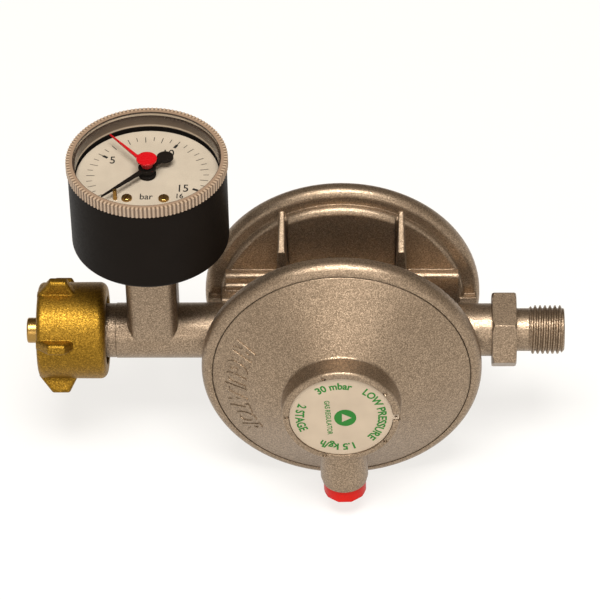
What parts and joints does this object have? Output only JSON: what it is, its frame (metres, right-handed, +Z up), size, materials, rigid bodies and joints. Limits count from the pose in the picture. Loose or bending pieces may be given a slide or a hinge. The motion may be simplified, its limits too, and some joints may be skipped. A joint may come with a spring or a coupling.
{
  "type": "gas pressure regulator",
  "caption": "Two-stage gas pressure regulator with two round diaphragm chambers, a union nut inlet, a threaded outlet, a vent plug and a top contents gauge with a marker ring.",
  "frame": {"origin": "centre of the union nut mouth, on the pipe axis", "axes": "+X along the gas flow from inlet to outlet, -Y towards the low-pressure cover, +Z up through the gauge"},
  "size_m": [0.1453, 0.0681, 0.0975],
  "materials": {
    "cast_metal": "blasted die casting, warm grey with a fine sparkle",
    "brass_cast": "forged brass, slightly grained",
    "brass_turned": "turned brass",
    "bronze_filter": "sintered bronze",
    "steel": "zinc-plated steel",
    "valve_aluminium": "turned aluminium",
    "rubber": "matt black rubber",
    "label_white": "cream enamel",
    "dial_white": "cream enamel, black print",
    "case_black": "satin black moulding",
    "ring_clear": "translucent knurled moulding",
    "window_clear": "clear pane",
    "plug_red": "bright red moulding",
    "marker_red": "bright red moulding"
  },
  "bodies": {
    "housing": {"body_casting": "cast_metal", "front_cover": "cast_metal", "rear_cover": "cast_metal", "label_plate": "label_white", "front_adjusting_screw": "steel", "rear_adjusting_screw": "steel", "rear_cap": "steel", "outlet_fitting": "cast_metal", "inlet_spigot": "brass_turned", "spigot_seal": "rubber", "inlet_filter": "bronze_filter", "first_nozzle": "brass_turned", "second_nozzle": "brass_turned", "first_lever_pin": "steel", "second_lever_pin": "steel", "first_spring": "steel", "second_spring": "steel", "first_diaphragm": "rubber", "second_diaphragm": "rubber", "gauge_socket": "brass_turned", "gauge_seal": "rubber", "gauge_restrictor": "brass_turned", "gauge_case": "case_black", "case_nut": "brass_turned", "dial": "dial_white", "dial_screws": "brass_turned", "stop_pin": "brass_turned", "bourdon_tube": "brass_turned", "tube_holder": "brass_turned", "back_plate": "brass_turned", "front_plate": "brass_turned", "movement_pillars": "brass_turned", "hairspring": "steel"},
    "nut_carrier": {"nut_slip_ring": "steel"},
    "union_nut": {"hand_nut": "brass_cast"},
    "marker_ring": {"knurled_ring": "ring_clear", "gauge_window": "window_clear", "marker_pointer": "marker_red"},
    "pointer_arbor": {"pinion_arbor": "brass_turned", "pointer": "case_black"},
    "sector": {"sector_gear": "brass_turned"},
    "tube_end": {"tube_tip": "brass_turned", "link": "brass_turned"},
    "second_stem_body": {"second_stem": "steel", "relief_clip": "steel", "relief_spring": "steel"},
    "second_disc": {"second_plate": "steel"},
    "second_lever_body": {"second_lever": "steel"},
    "second_valve": {"second_valve_holder": "valve_aluminium", "second_valve_pad": "rubber"},
    "first_disc": {"first_stem": "steel", "first_stem_nut": "brass_turned", "first_plate": "steel"},
    "first_lever_body": {"first_lever": "steel"},
    "first_valve": {"first_valve_holder": "valve_aluminium", "first_valve_pad": "rubber"},
    "vent_plug_body": {"vent_plug": "plug_red"}
  },
  "joints": [
    {"name": "nut_slip", "type": "slide", "parent": "housing", "child": "nut_carrier", "axis": [1, 0, 0], "range_m": [0, 0.0045]},
    {"name": "nut_turn", "type": "hinge", "parent": "nut_carrier", "child": "union_nut", "pos_m": [0, 0, 0], "axis": [1, 0, 0], "continuous": true},
    {"name": "marker_turn", "type": "hinge", "parent": "housing", "child": "marker_ring", "pos_m": [0.0316, 0, 0.058], "axis": [0, 0, 1], "continuous": true},
    {"name": "pointer_turn", "type": "hinge", "parent": "housing", "child": "pointer_arbor", "pos_m": [0.0316, 0, 0.05], "axis": [0, 0, -1], "range_deg": [0, 267.5], "deforming": ["hairspring"]},
    {"name": "sector_turn", "type": "hinge", "parent": "housing", "child": "sector", "pos_m": [0.02183, -0.00356, 0.0494], "axis": [0, 0, 1], "range_deg": [0, 22.5]},
    {"name": "tube_tip_pull", "type": "slide", "parent": "housing", "child": "tube_end", "axis": [-0.9328, -0.3604, 0], "range_m": [0, 0.00212], "deforming": ["bourdon_tube"]},
    {"name": "second_stem_slide", "type": "slide", "parent": "housing", "child": "second_stem_body", "axis": [0, -1, 0], "range_m": [0, 0.002], "stiffness_N_per_m": 400, "springref_m": -0.008, "deforming": ["second_spring", "second_diaphragm"]},
    {"name": "relief_lift", "type": "slide", "parent": "second_stem_body", "child": "second_disc", "axis": [0, -1, 0], "range_m": [0, 0.0008], "stiffness_N_per_m": 1500, "springref_m": -0.003, "deforming": ["relief_spring"]},
    {"name": "second_lever_turn", "type": "hinge", "parent": "housing", "child": "second_lever_body", "pos_m": [0.095, -0.0056, 0], "axis": [0, 0, 1], "range_deg": [0, 9]},
    {"name": "second_valve_slide", "type": "slide", "parent": "housing", "child": "second_valve", "axis": [1, 0, 0], "range_m": [0, 0.00062]},
    {"name": "first_stem_slide", "type": "slide", "parent": "housing", "child": "first_disc", "axis": [0, 1, 0], "range_m": [0, 0.0014], "stiffness_N_per_m": 1500, "springref_m": -0.006, "deforming": ["first_spring", "first_diaphragm"]},
    {"name": "first_lever_turn", "type": "hinge", "parent": "housing", "child": "first_lever_body", "pos_m": [0.069, -0.0016, 0], "axis": [0, 0, 1], "range_deg": [0, 6.5]},
    {"name": "first_valve_slide", "type": "slide", "parent": "housing", "child": "first_valve", "axis": [-1, 0, 0], "range_m": [0, 0.00051]},
    {"name": "vent_plug_pull", "type": "slide", "parent": "housing", "child": "vent_plug_body", "axis": [0.0244, 0, -0.9997], "range_m": [0, 0.01]}
  ],
  "couplings": [
    {"joint": "sector_turn", "follows": "tube_tip_pull", "rad_per_m": 182.97},
    {"joint": "pointer_turn", "follows": "tube_tip_pull", "rad_per_m": 2195.6},
    {"joint": "second_lever_turn", "follows": "second_stem_slide", "rad_per_m": 76.923},
    {"joint": "second_valve_slide", "follows": "second_stem_slide", "ratio": 0.3},
    {"joint": "first_lever_turn", "follows": "first_stem_slide", "rad_per_m": 76.923},
    {"joint": "first_valve_slide", "follows": "first_stem_slide", "ratio": 0.35385}
  ]
}
